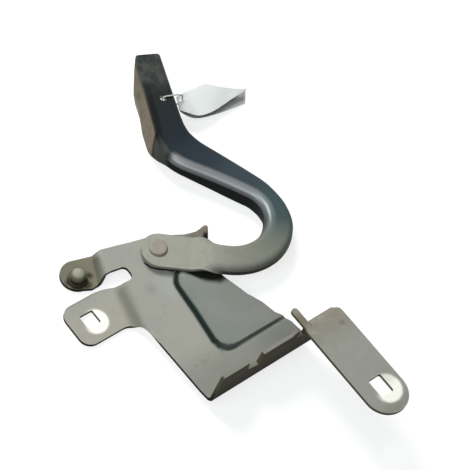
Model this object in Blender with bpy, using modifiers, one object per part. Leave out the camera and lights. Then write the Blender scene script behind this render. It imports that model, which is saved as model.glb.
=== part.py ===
import bpy
import bmesh
from math import acos, cos, pi, radians, sin, sqrt
from mathutils import Vector
from mathutils.geometry import delaunay_2d_cdt

# Every size below is in millimetres, heights count from the upper face of the base plate.
# The pivot axis is vertical through x = 0, y = 0. The built meshes are in metres.
metre = 0.001

# base bracket
bracket_sheet = 2.5
ear_drop = 6.0
panel_rise = 2.6
panel_wall = 3.0
fold_radius = 3.5
flange_y = -107.25
flange_top = 28.0
ear_top = 36.0
strut_ear = (-53.4, 16.0)
strut_ear_radius = 11.5
small_ear_hole = (-66.0, -16.0)
small_ear_hole_side = 10.5
large_ear_hole = (44.0, -169.0)
large_ear_hole_size = (10.5, 14.0)
large_ear_centre = (43.8, -173.5)
large_ear_radius = 15.7
stop_base = (31.6, -10.2)
stop_angle = 62.6
stop_height = 9.0
stop_length = 11.0
stop_bend_radius = 2.5
stop_lean = 82.0
small_ear_corner = 8.2
ear_fillet = 10.7
slot_top_corner = (-28.1, -0.6)
slot_top_radius = 3.9
slot_low_corner = (-28.4, -3.6)
slot_low_radius = 4.1
panel_low_corner = (0.4, -75.0)
panel_low_radius = 9.6
panel_high_corner = (4.0, -24.6)
panel_high_radius = 6.4
plate_left = -39.0
plate_right = 48.2
notch_left = -14.2
notch_right = -2.0
notch_depth = 11.8
finger_left = 29.0
finger_width = 4.8
finger_length = 16.0
finger_slit = 0.5

# hood arm
arm_sheet = 2.5
arm_gap = 3.5
web_top = 11.5
arm_heading = -38.0
arm_side_step = -3.0
arm_tip_centre = 1.6
arm_tip_radius = 13.1
arm_end_outer_corner = 4.0
arm_end_slant_start = 8.5
arm_end_slant = 1.05
arm_end_step = 4.5
arm_end_stretch = 44.0
arm_bend_length = 4.8
joggle_start = 21.0
joggle_length = 17.0
pivot_limb = 47.5
low_bend = 27.3
low_bend_turn = 40.8
great_bend = 63.5
great_bend_turn = 109.2
neck_limb = 47.5
neck_turn = 0.4
pad_bend = 34.6
pad_bend_turn = -44.7
pad_limb = 54.8
# Rows down the arm: distance, then for the inner and the outer side the half width of the web,
# the length of the flange below its bend and the bend angle.
arm_rows = [
    (-11.5, 5.5, 5.0, 0, 4.2, 2.0, 0),
    (27.0, 5.5, 4.4, 0, 4.2, 2.0, 0),
    (44.0, 5.4, 3.6, 80, 5.4, 3.6, 78),
    (100.0, 5.2, 3.6, 80, 5.4, 3.6, 78),
    (114.0, 5.2, 7.0, 80, 3.8, 3.6, 78),
    (128.0, 5.8, 9.1, 82, 2.4, 3.6, 78),
    (144.0, 7.4, 9.4, 82, 3.0, 3.6, 78),
    (168.0, 11.2, 7.9, 82, 3.5, 3.6, 78),
    (184.0, 14.4, 6.2, 82, 3.6, 3.6, 78),
    (192.5, 15.6, 5.6, 82, 4.1, 3.6, 78),
    (200.0, 14.0, 10.4, 82, 4.3, 3.6, 78),
    (208.0, 10.7, 15.4, 80, 5.0, 3.4, 78),
    (217.0, 8.0, 16.6, 80, 5.6, 3.2, 77),
    (236.0, 7.2, 15.2, 82, 5.4, 3.0, 76),
    (276.0, 7.2, 15.2, 82, 5.4, 3.0, 76),
]
tie_hole = (78.0, 97.0)
tie_hole_radius = 2.0

# pivot
fit = 0.3
running_fit = 0.1
shank_radius = 3.5
bush_wall = 1.3
bush_flange_radius = 8.0
head_radius = 6.4
head_height = 1.8
tail_height = 2.0
washer_radius = 7.6
washer_thickness = 1.0
bush_radius = shank_radius + fit + bush_wall

# ball stud
stud_place = (-55.2, 13.4)
ball_radius = 5.1
ball_height = -1.6
ball_neck = 4.3
collar_radius = 7.0
collar_thickness = 1.2
stud_shank_radius = 3.0
stud_rim = 1.6

# tag and its tie
tag_thickness = 0.4
wire_radius = 0.6
tag_eye = (93.2, 92.6)
# Across the tag at each step of its length: one edge, then the other. The upper leaf runs
# in from its free end to the fold at the tie, the lower leaf runs out again.
tag_steps = [
    ((148.4, 80.7, -2.0), (143.6, 79.7, -3.0)),
    ((138.5, 84.3, 0.0), (135.1, 79.3, -2.0)),
    ((125.6, 90.1, 4.0), (122.7, 77.7, -2.0)),
    ((117.2, 95.3, 6.0), (109.7, 75.8, 0.0)),
    ((105.9, 95.6, 7.0), (97.7, 76.8, 2.0)),
    ((96.8, 95.8, 7.2), (90.6, 80.8, 5.0)),
    ((91.6, 96.4, 5.0), (86.8, 86.2, 4.0)),
    ((96.8, 95.2, 2.4), (91.2, 81.0, 0.8)),
    ((107.5, 89.4, 0.6), (99.4, 76.6, -1.6)),
    ((126.7, 83.8, -4.2), (118.9, 75.0, -5.6)),
    ((151.6, 82.7, -7.4), (143.7, 74.0, -8.4)),
]

plate_mid = -bracket_sheet / 2
ear_mid = ear_top - bracket_sheet / 2
fold_arc = fold_radius * pi / 2
fold_in = flange_y + fold_radius
wall_start = fold_in - fold_arc
wall_end = wall_start - (ear_mid - plate_mid - 2 * fold_radius)
ear_start = wall_end - fold_arc
ear_start_y = flange_y - fold_radius
finger_right = finger_left + finger_width
finger_tip = ear_start + finger_length
flat_level = arm_gap + arm_sheet / 2
web_level = web_top - arm_sheet / 2
arm_runs = [
    (pivot_limb, 0.0),
    (low_bend, low_bend_turn),
    (great_bend, great_bend_turn),
    (neck_limb, neck_turn),
    (pad_bend, pad_bend_turn),
    (pad_limb, 0.0),
]
arm_end = sum(length for length, turn in arm_runs)


def material(name, color, roughness, metallic):
    mat = bpy.data.materials.new(name)
    mat.use_nodes = True
    mat.diffuse_color = (*color, 1)
    shader = mat.node_tree.nodes["Principled BSDF"]
    shader.inputs["Base Color"].default_value = (*color, 1)
    shader.inputs["Roughness"].default_value = roughness
    shader.inputs["Metallic"].default_value = metallic
    return mat


def collection(name):
    made = bpy.data.collections.new(name)
    bpy.context.scene.collection.children.link(made)
    return made


def add_object(name, mesh, group, mat=None):
    obj = bpy.data.objects.new(name, mesh)
    group.objects.link(obj)
    if mat:
        mesh.materials.append(mat)
    return obj


def mesh_from(name, points, faces):
    mesh = bpy.data.meshes.new(name)
    mesh.from_pydata([Vector(p) * metre for p in points], [], faces)
    mesh.update()
    return mesh


def settle(obj):
    # keeps the evaluated shape of the object as its plain mesh
    graph = bpy.context.evaluated_depsgraph_get()
    graph.update()
    shape = bpy.data.meshes.new_from_object(obj.evaluated_get(graph))
    if obj.type == "MESH":
        obj.modifiers.clear()
        old = obj.data
        obj.data = shape
        bpy.data.meshes.remove(old)
        return obj
    mats = [slot for slot in obj.data.materials]
    name = obj.name
    group = obj.users_collection[0]
    bpy.data.objects.remove(obj)
    made = add_object(name, shape, group)
    shape.materials.clear()
    for mat in mats:
        shape.materials.append(mat)
    return made


def clean(obj, distance=0.00002):
    work = bmesh.new()
    work.from_mesh(obj.data)
    bmesh.ops.remove_doubles(work, verts=work.verts, dist=distance)
    bmesh.ops.recalc_face_normals(work, faces=work.faces)
    work.to_mesh(obj.data)
    work.free()
    return obj


def thicken(obj, thickness):
    solid = obj.modifiers.new("sheet", "SOLIDIFY")
    solid.thickness = thickness * metre
    solid.offset = 0
    solid.use_even_offset = True
    return clean(settle(obj))


def cutter(name, outline, low, high, group):
    # an upright prism over an outline, for a hole through the sheet
    count = len(outline)
    points = [(x, y, low) for x, y in outline] + [(x, y, high) for x, y in outline]
    faces = [tuple(range(count))[::-1], tuple(range(count, 2 * count))]
    for i in range(count):
        j = (i + 1) % count
        faces.append((i, j, count + j, count + i))
    obj = add_object(name, mesh_from(name, points, faces), group)
    obj.hide_render = True
    obj.display_type = "WIRE"
    return obj


def cut(obj, tools):
    for tool in tools:
        hole = obj.modifiers.new(tool.name, "BOOLEAN")
        hole.operation = "DIFFERENCE"
        hole.solver = "EXACT"
        hole.object = tool
    return clean(settle(obj))


def arc(cx, cy, radius, start, end, steps):
    made = []
    for i in range(steps + 1):
        angle = radians(start + (end - start) * i / steps)
        made.append((cx + radius * cos(angle), cy + radius * sin(angle)))
    return made


def circle(cx, cy, radius, steps=32):
    return arc(cx, cy, radius, 0, 360 - 360 / steps, steps - 1)


def rounded(cx, cy, width, height, radius, steps=4):
    x = width / 2 - radius
    y = height / 2 - radius
    made = arc(cx + x, cy - y, radius, -90, 0, steps)
    made += arc(cx + x, cy + y, radius, 0, 90, steps)
    made += arc(cx - x, cy + y, radius, 90, 180, steps)
    made += arc(cx - x, cy - y, radius, 180, 270, steps)
    return made


def smooth(value):
    value = min(max(value, 0.0), 1.0)
    return value * value * (3 - 2 * value)


def turned(name, profile, group, mat, steps=32):
    # profile of radius and height pairs from top to bottom, swept round the vertical
    count = len(profile)
    mesh = bpy.data.meshes.new(name)
    edges = [(i, i + 1) for i in range(count - 1)]
    if profile[0][0] > 0:
        edges.append((count - 1, 0))
    mesh.from_pydata([Vector((r, 0, z)) * metre for r, z in profile], edges, [])
    obj = add_object(name, mesh, group, mat)
    screw = obj.modifiers.new("turn", "SCREW")
    screw.axis = "Z"
    screw.angle = radians(360)
    screw.steps = steps
    screw.render_steps = steps
    screw.use_merge_vertices = True
    screw.merge_threshold = 0.00005
    screw.use_normal_calculate = True
    return clean(settle(obj))


# The panel is a raised field with rounded corners, its edge drawn as one open path.
def panel_path():
    made = [(80.0, panel_low_corner[1] - panel_low_radius)]
    made += arc(*panel_low_corner, panel_low_radius, -90, -172, 8)
    made += arc(*panel_high_corner, panel_high_radius, -188, -302, 8)
    made += [(28.0, -31.5), (80.0, -62.0)]
    return made


panel_edge = panel_path()


def panel_distance(x, y):
    # distance from the middle of the panel's wall, positive inside the panel
    point = Vector((x, y))
    nearest = 1e9
    inside = False
    closed = panel_edge + [panel_edge[0]]
    for (ax, ay), (bx, by) in zip(closed[:-1], closed[1:]):
        a = Vector((ax, ay))
        span = Vector((bx - ax, by - ay))
        along = min(max((point - a).dot(span) / span.length_squared, 0), 1)
        nearest = min(nearest, (point - a - span * along).length)
        if (ay > y) != (by > y) and x < ax + (y - ay) * (bx - ax) / (by - ay):
            inside = not inside
    return nearest if inside else -nearest


def form_height(x, y):
    # how far the stamping moves the plate up or down
    if y < fold_in or x > 60:
        return 0.0
    if x < -20:
        if y > -0.9:
            return -ear_drop * smooth((3.0 - strut_ear_line(x, y)) / 6.0)
        return -ear_drop * smooth((4.0 - small_ear_line(x, y)) / 8.0)
    taper = 1 - 0.4 * smooth((x - 5) / 40)
    return panel_rise * taper * smooth(panel_distance(x, y) / panel_wall + 0.5)


def strut_ear_line(x, y):
    return (x + 39.0) * 0.888 - (y - 11.0) * 0.460


def small_ear_line(x, y):
    return (x + 37.0) * 0.990 - (y + 7.0) * 0.138


def stop_axes():
    along = Vector((cos(radians(stop_angle)), sin(radians(stop_angle))))
    return along, Vector((along.y, -along.x))


def flat_to_bracket(x, s):
    # carries a point of the flat blank to its place on the formed sheet
    along, out = stop_axes()
    step = Vector((x, s)) - Vector(stop_base)
    beyond = step.dot(out)
    if beyond > 0 and step.dot(along) > -1 and s > -20:
        radius = stop_bend_radius
        turn = min(beyond / radius, radians(stop_lean))
        rest = beyond - turn * radius
        reach = radius * sin(turn) + rest * cos(turn)
        lift = radius * (1 - cos(turn)) + rest * sin(turn)
        place = Vector((x, s)) + out * (reach - beyond)
        return (place.x, place.y, plate_mid + lift)
    if s >= fold_in:
        return (x, s, plate_mid + form_height(x, s))
    if in_finger(x, s):
        return (x, ear_start_y + s - ear_start, ear_mid)
    if s >= wall_start:
        turn = (fold_in - s) / fold_radius
        return (x, fold_in - fold_radius * sin(turn), plate_mid + fold_radius * (1 - cos(turn)))
    if s >= wall_end:
        return (x, flange_y, plate_mid + fold_radius + wall_start - s)
    if s >= ear_start:
        turn = (wall_end - s) / fold_radius
        return (x, flange_y - fold_radius * (1 - cos(turn)), ear_mid - fold_radius * (1 - sin(turn)))
    return (x, ear_start_y + s - ear_start, ear_mid)


def in_finger(x, s):
    return finger_left - 0.1 < x < finger_right + 0.1 and ear_start < s < finger_tip + 0.1


def wall_at(height):
    return wall_start - (height - plate_mid - fold_radius)


def bracket_outline():
    along, out = stop_axes()
    base = Vector(stop_base)
    top = wall_at(flange_top)
    window = finger_tip + finger_slit
    tip_radius = finger_width / 2
    ear_shift = ear_start - ear_start_y
    made = arc(-72.4, -24.6, small_ear_corner, 180, 270, 6)
    made += arc(-51.2, -43.4, ear_fillet, 90, 0, 8)
    made += [(plate_left, -98.0), (plate_left + 1.0, wall_start), (plate_left + 3.2, top + 1.6)]
    made += [(plate_left + 4.6, top), (notch_left, top), (notch_left + 1.2, top + notch_depth - 2.5)]
    made += [(notch_right - 1.4, top + notch_depth), (notch_right, top)]
    made += [(22.0, top), (25.5, wall_end + 0.3), (finger_left - finger_slit, wall_end + 0.3)]
    made += [(finger_left - finger_slit, window), (finger_right + finger_slit, window)]
    made += [(finger_right + finger_slit, ear_start - 0.2), (finger_right, ear_start - 0.2)]
    made += arc(finger_left + tip_radius, finger_tip - tip_radius, tip_radius, 0, 180, 6)
    made += [(finger_left, ear_start - 0.2), (28.1, ear_start - 2.0)]
    made += arc(large_ear_centre[0], large_ear_centre[1] + ear_shift, large_ear_radius, 180, 360, 24)
    made += arc(55.5, ear_start - 2.0, 4.0, 0, 80, 4)
    made += [(54.5, wall_end + 2.0), (50.0, wall_at(16.0)), (plate_right, fold_in + 1.0)]
    made += [(47.2, -96.0), (46.6, -90.0), (43.6, -83.6), (40.4, -79.0), (38.0, -68.6)]
    made += [(34.4, -60.6), (32.8, -57.4), (31.6, -52.4), (28.0, -40.5), (26.4, -32.0)]
    made += [(27.4, -25.0), (31.6, -15.6), (base.x, base.y)]
    high = stop_height + 1.3
    for w, e in ((0.0, high - 2.0), (2.0, high), (stop_length - 1.0, high), (stop_length, high - 1.0)):
        place = base + along * w + out * e
        made.append((place.x, place.y))
    tip = base + along * (stop_length - 0.6)
    made += [(tip.x, tip.y), (33.6, 0.4), (30.0, 1.2), (26.0, 2.4), (16.0, 7.6), (7.0, 12.4)]
    made += [(-10.0, 16.2), (-21.0, 19.2), (-31.0, 21.6)]
    made += arc(strut_ear[0], strut_ear[1], strut_ear_radius, 72, 258, 18)
    made += [(-50.6, 2.2)]
    made += [(-44.0, 2.4), (-41.5, 3.4), (-39.0, 4.4), (-35.0, 4.5)]
    made += arc(*slot_top_corner, slot_top_radius, 90, 0, 5)
    made += arc(*slot_low_corner, slot_low_radius, 0, -90, 5)
    made += [(-34.6, -7.3), (-36.8, -6.0), (-39.8, -3.9), (-44.5, -2.1), (-48.0, -1.4), (-54.0, -0.8)]
    made += arc(-72.0, -9.4, 8.6, 90, 180, 6)
    return made


def bracket_lines():
    # creases along which the blank is bent, so that each bend has its own rows of points
    made = []
    for i in range(5):
        s = fold_in - fold_arc * i / 4
        made.append([(-60.0, s), (70.0, s)])
        s = wall_end - fold_arc * i / 4
        made.append([(finger_right + 0.3, s), (70.0, s)])
    for i in range(7):
        q = 4.0 - 8.0 * i / 6
        ends = [((q + (y + 7.0) * 0.138) / 0.990 - 37.0, y) for y in (-4.4, -70.0)]
        made.append(ends)
        q = 3.0 - 6.0 * i / 6
        made.append([((q + (y - 11.0) * 0.460) / 0.888 - 39.0, y) for y in (0.6, 30.0)])
    path = [Vector(p) for p in panel_edge]
    for i in range(7):
        offset = panel_wall * (i / 6 - 0.5)
        ring = []
        for k, point in enumerate(path):
            before = path[max(k - 1, 0)]
            after = path[min(k + 1, len(path) - 1)]
            span = (after - before).normalized()
            ring.append((point.x + span.y * offset, point.y - span.x * offset))
        made.append(ring)
    along, out = stop_axes()
    for i in range(5):
        step = out * (stop_bend_radius * radians(stop_lean) * i / 4)
        low = Vector(stop_base) + step - along * 0.4
        high = Vector(stop_base) + step + along * (stop_length + 0.4)
        made.append([tuple(low), tuple(high)])
    return made


def blank_mesh(name, outline, lines, place):
    points = [Vector(p) for p in outline]
    edges = []
    for line in lines:
        start = len(points)
        points += [Vector(p) for p in line]
        edges += [(start + i, start + i + 1) for i in range(len(line) - 1)]
    face = list(range(len(outline)))
    made = delaunay_2d_cdt(points, edges, [face], 0, 0.001)
    faces = [f for f, source in zip(made[2], made[5]) if source]
    return mesh_from(name, [place(p.x, p.y) for p in made[0]], faces)


def build_bracket(group, tools, mat):
    mesh = blank_mesh("base_bracket", bracket_outline(), bracket_lines(), flat_to_bracket)
    obj = thicken(clean(add_object("base_bracket", mesh, group, mat)), bracket_sheet)
    holes = [
        cutter("pivot_bore", circle(0, 0, shank_radius + fit), -9, 9, tools),
        cutter("stud_bore", circle(*stud_place, stud_shank_radius + fit, 24), -14, 0, tools),
        cutter("small_ear_square", rounded(*small_ear_hole, small_ear_hole_side,
                                           small_ear_hole_side, 1.2), -14, 0, tools),
        cutter("large_ear_slot", rounded(*large_ear_hole, *large_ear_hole_size, 1.4),
               ear_top - 9, ear_top + 9, tools),
    ]
    return cut(obj, holes)


def arm_path(t):
    # point and heading of the arm's middle line at a distance from the pivot
    heading = radians(arm_heading)
    side = Vector((-sin(heading), cos(heading)))
    point = side * arm_side_step
    if t < 0:
        return point + Vector((cos(heading), sin(heading))) * t, heading
    for length, turn in arm_runs:
        step = min(t, length)
        change = radians(turn) * step / length
        if abs(change) < 1e-9:
            point = point + Vector((cos(heading), sin(heading))) * step
        else:
            radius = step / change
            point = point + radius * Vector((sin(heading + change) - sin(heading),
                                             cos(heading) - cos(heading + change)))
        heading += change
        t -= step
        if t <= 0:
            break
    return point, heading


def steepness(before, after):
    # slope at a row between two stretches, flat where the sizes turn back
    if before * after <= 0:
        return 0.0
    return 2 * before * after / (before + after)


def arm_row(t):
    # sizes of the section at a distance from the pivot, on smooth lines through the rows
    i = 0
    while i < len(arm_rows) - 2 and t > arm_rows[i + 1][0]:
        i += 1
    rows = [arm_rows[min(max(k, 0), len(arm_rows) - 1)] for k in range(i - 1, i + 3)]
    span = rows[2][0] - rows[1][0]
    share = (t - rows[1][0]) / span
    made = []
    for k in range(1, 7):
        slopes = [(b[k] - a[k]) / max(b[0] - a[0], 1e-6) for a, b in zip(rows[:-1], rows[1:])]
        start = steepness(slopes[0], slopes[1]) * span
        end = steepness(slopes[1], slopes[2]) * span
        rise = rows[2][k] - rows[1][k]
        bend = share * share * (3 - 2 * share)
        made.append(rows[1][k] + rise * bend + start * share * (1 - share) ** 2
                    - end * share * share * (1 - share))
    return made


def arm_section(t):
    # offsets across the arm, from the foot of the inner flange to the foot of the outer one
    in_web, in_length, in_angle, out_web, out_length, out_angle = arm_row(t)
    level = flat_level + (web_level - flat_level) * smooth((t - joggle_start) / joggle_length)
    half = []
    for web, length, angle in ((in_web, in_length, in_angle), (out_web, out_length, out_angle)):
        turn = radians(max(angle, 0.01))
        radius = arm_bend_length / turn
        side = [(web * i / 3, 0.0, web * i / 3) for i in range(4)]
        for i in range(1, 6):
            a = turn * i / 5
            side.append((web + radius * sin(a), -radius * (1 - cos(a)), web + arm_bend_length * i / 5))
        reach, drop, run = side[-1]
        for i in (1, 2, 3):
            part = length * i / 3
            side.append((reach + part * cos(turn), drop - part * sin(turn), run + part))
        half.append(side)
    inner = [(n, z + level, u) for n, z, u in reversed(half[0])]
    outer = [(-n, z + level, -u) for n, z, u in half[1][1:]]
    return inner + outer


def end_trim(u, low):
    # how far the slanted and rounded end of the arm stands back at one place across it
    if u > arm_end_slant_start:
        gap = u - arm_end_slant_start
        foot = max(gap - 15.5, 0.0)
        return arm_end_slant * gap + arm_end_step * smooth(gap / 3.0) + 0.5 * foot ** 2
    if u < low + arm_end_outer_corner:
        gap = min(low + arm_end_outer_corner - u, arm_end_outer_corner)
        return arm_end_outer_corner - sqrt(max(arm_end_outer_corner ** 2 - gap ** 2, 0))
    return 0.0


def build_arm(group, tools, mat):
    stations = []
    for a in (5, 14, 24, 36, 50, 66, 82):
        stations.append(arm_tip_centre - arm_tip_radius * cos(radians(a)))
    stations += [8.0, 15.0, 22.0]
    t = 25.0
    while t < arm_end - 1:
        stations.append(t)
        t += 3.0
    stations.append(arm_end)
    points = []
    for t in stations:
        section = arm_section(t)
        high = section[0][2]
        low = section[-1][2]
        for n, z, u in section:
            if t < arm_tip_centre:
                half = sqrt(arm_tip_radius ** 2 - (arm_tip_centre - t) ** 2)
                middle = (high + low) / 2
                share = 2 * half / (high - low)
                n = middle + (n - middle) * share
            back = 0.0
            if t > arm_end - arm_end_stretch:
                share = (t - arm_end + arm_end_stretch) / arm_end_stretch
                back = end_trim(u, low) * share
            point, heading = arm_path(t - back)
            place = point + Vector((-sin(heading), cos(heading))) * n
            points.append((place.x, place.y, z))
    width = len(section)
    faces = []
    for i in range(len(stations) - 1):
        for j in range(width - 1):
            a = i * width + j
            faces.append((a, a + 1, a + width + 1, a + width))
    obj = add_object("hood_arm", mesh_from("hood_arm", points, faces), group, mat)
    thicken(clean(obj), arm_sheet)
    holes = [
        cutter("arm_bore", circle(0, 0, bush_radius + running_fit), -2, 16, tools),
        cutter("tie_bore", circle(*tie_hole, tie_hole_radius, 20), 2, 20, tools),
    ]
    return cut(obj, holes)


def build_pivot(group, mats):
    top = arm_gap + arm_sheet + fit
    below = -bracket_sheet - fit
    washer_low = below - washer_thickness
    tail = washer_low - fit
    cap = [(0.0, top + head_height)]
    for i in range(1, 5):
        a = radians(90) * i / 4
        cap.append((head_radius - 2.2 + 2.2 * sin(a), top + head_height - 1.4 * (1 - cos(a))))
    rivet = cap + [
        (head_radius, top), (shank_radius, top), (shank_radius, tail),
        (head_radius - 0.8, tail), (head_radius - 0.8, tail - tail_height + 0.8),
        (head_radius - 1.6, tail - tail_height), (0.0, tail - tail_height)]
    turned("pivot_rivet", rivet, group, mats["rivet"], 40)
    inner = shank_radius + fit
    bush = [(inner, top - fit), (bush_radius, top - fit), (bush_radius, arm_gap - fit),
            (bush_flange_radius, arm_gap - fit), (bush_flange_radius, fit), (inner, fit)]
    turned("pivot_bush", bush, group, mats["bush"], 32)
    washer = [(inner, below), (washer_radius, below), (washer_radius, washer_low), (inner, washer_low)]
    turned("pivot_washer", washer, group, mats["zinc"], 32)


def build_stud(group, mat):
    ear = -ear_drop + fit
    under = -ear_drop - bracket_sheet - fit
    start = acos(ball_neck / ball_radius)
    profile = [(0.0, ball_height + ball_radius)]
    for i in range(1, 11):
        a = radians(90) - (radians(90) + start) * i / 10
        profile.append((ball_radius * cos(a), ball_height + ball_radius * sin(a)))
    profile += [
        (ball_neck, ear + collar_thickness), (collar_radius - 0.6, ear + collar_thickness),
        (collar_radius, ear + collar_thickness - 0.6), (collar_radius, ear),
        (stud_shank_radius, ear), (stud_shank_radius, under),
        (stud_shank_radius + stud_rim, under), (stud_shank_radius + stud_rim - 0.4, under - 0.7),
        (0.0, under - 0.7)]
    obj = turned("ball_stud", profile, group, mat, 32)
    obj.location = (stud_place[0] * metre, stud_place[1] * metre, 0)
    return obj


def build_tag(group, tools, mat):
    points = []
    for a, b in tag_steps:
        a = Vector(a)
        b = Vector(b)
        points += [a.lerp(b, i / 4) for i in range(5)]
    faces = []
    for i in range(len(tag_steps) - 1):
        for j in range(4):
            k = i * 5 + j
            faces.append((k, k + 1, k + 6, k + 5))
    obj = add_object("paper_tag", mesh_from("paper_tag", points, faces), group, mat)
    bend = obj.modifiers.new("soft", "SUBSURF")
    bend.levels = 1
    bend.render_levels = 1
    settle(obj)
    thicken(obj, tag_thickness)
    eye = circle(*tag_eye, wire_radius + fit, 16)
    return cut(obj, [cutter("tag_eye_bore", eye, -4, 12, tools)])


def build_tie(group, mat):
    # a closed loop: up through the arm's small hole, over the edge, down through the tag's eye
    x, y = tie_hole
    eye_x, eye_y = tag_eye
    top = web_top + fit + wire_radius
    path = [
        (x, y, web_top), (x + 0.6, y - 0.1, top + 0.8), (x + 6, y - 1.2, top + 0.2),
        (x + 11, y - 2.8, top), (eye_x, eye_y, top - 2.6), (eye_x, eye_y, 6.0), (eye_x, eye_y, 1.8),
        (x + 12, y - 3.0, -0.4), (x + 5, y - 1.4, 1.2), (x, y, 4.4), (x, y, web_level - 2)]
    line = bpy.data.curves.new("tag_tie", "CURVE")
    line.dimensions = "3D"
    line.bevel_depth = wire_radius * metre
    line.bevel_resolution = 2
    line.resolution_u = 4
    spline = line.splines.new("NURBS")
    spline.points.add(len(path) - 1)
    for point, place in zip(spline.points, path):
        point.co = (*(Vector(place) * metre), 1)
    spline.order_u = 3
    spline.use_cyclic_u = True
    obj = bpy.data.objects.new("tag_tie", line)
    group.objects.link(obj)
    line.materials.append(mat)
    return clean(settle(obj))


def main():
    for obj in list(bpy.data.objects):
        bpy.data.objects.remove(obj)
    parts = collection("hood_hinge")
    tools = collection("cutters")
    mats = {
        "bracket": material("primer_grey", (0.40, 0.39, 0.34), 0.55, 0.25),
        "arm": material("body_blue_grey", (0.12, 0.15, 0.17), 0.42, 0.3),
        "rivet": material("rivet_steel", (0.42, 0.38, 0.34), 0.45, 0.7),
        "bush": material("bush_bronze", (0.30, 0.22, 0.12), 0.5, 0.8),
        "zinc": material("zinc_plate", (0.50, 0.50, 0.47), 0.4, 0.9),
        "tag": material("blank_paper", (0.85, 0.86, 0.85), 0.9, 0.0),
        "tie": material("tie_wire", (0.60, 0.60, 0.57), 0.5, 0.4),
    }
    root = bpy.data.objects.new("hinge_frame", None)
    parts.objects.link(root)
    swing = bpy.data.objects.new("arm_pivot", None)
    parts.objects.link(swing)
    swing.parent = root
    build_bracket(parts, tools, mats["bracket"])
    build_pivot(parts, mats)
    build_stud(parts, mats["zinc"])
    build_arm(parts, tools, mats["arm"])
    build_tie(parts, mats["tie"])
    build_tag(parts, tools, mats["tag"])
    moving = ("hood_arm", "tag_tie", "paper_tag")
    solids = [obj for obj in parts.objects if obj.type == "MESH"]
    for obj in solids:
        obj.parent = swing if obj.name in moving else root
    corners = []
    for obj in solids:
        corners += [v.co + obj.location for v in obj.data.vertices]
    low = [min(c[i] for c in corners) for i in range(3)]
    high = [max(c[i] for c in corners) for i in range(3)]
    root.location = (-(low[0] + high[0]) / 2, -(low[1] + high[1]) / 2, -low[2])
    bpy.context.view_layer.update()
    print("frame moved by", [round(v / metre, 3) for v in root.location])
    print("size", [round((h - l) / metre, 2) for l, h in zip(low, high)])


main()
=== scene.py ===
from math import acos, atan2, cos, pi, radians, sin, sqrt

import bmesh
import bpy
from mathutils import Matrix, Vector


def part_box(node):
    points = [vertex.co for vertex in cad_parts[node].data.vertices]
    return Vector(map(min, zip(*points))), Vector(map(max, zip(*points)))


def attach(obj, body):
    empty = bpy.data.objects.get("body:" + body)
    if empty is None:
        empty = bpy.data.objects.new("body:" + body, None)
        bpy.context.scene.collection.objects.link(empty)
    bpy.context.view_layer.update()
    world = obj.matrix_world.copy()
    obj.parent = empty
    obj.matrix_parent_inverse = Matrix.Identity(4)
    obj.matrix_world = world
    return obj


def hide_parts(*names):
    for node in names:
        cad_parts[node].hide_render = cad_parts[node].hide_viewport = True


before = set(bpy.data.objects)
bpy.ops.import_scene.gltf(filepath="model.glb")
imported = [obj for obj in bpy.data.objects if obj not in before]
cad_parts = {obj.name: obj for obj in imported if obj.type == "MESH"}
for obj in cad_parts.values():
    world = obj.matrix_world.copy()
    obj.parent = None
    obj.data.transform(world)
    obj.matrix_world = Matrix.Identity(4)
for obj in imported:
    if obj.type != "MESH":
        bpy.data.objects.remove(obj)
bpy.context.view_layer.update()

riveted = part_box("pivot_rivet")
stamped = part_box("base_bracket")
# heights and places below are in millimetres from the pivot, on the plate's upper face
earTop = 36.0
pivot = (riveted[0] + riveted[1]) / 2
pivot.z = stamped[1].z - earTop / 1000


def toRow(x, y, z):
    return pivot + Vector((x, y, z)) / 1000


def ease(value):
    # 0 below 0, 1 above 1, smooth between
    value = min(max(value, 0.0), 1.0)
    return value * value * (3 - 2 * value)


def tint(red, green, blue):
    # a colour of 0 to 255 as Blender's linear one
    made = []
    for value in (red, green, blue):
        value /= 255
        made.append(value / 12.92 if value <= 0.04045 else ((value + 0.055) / 1.055) ** 2.4)
    return (*made, 1)


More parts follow.
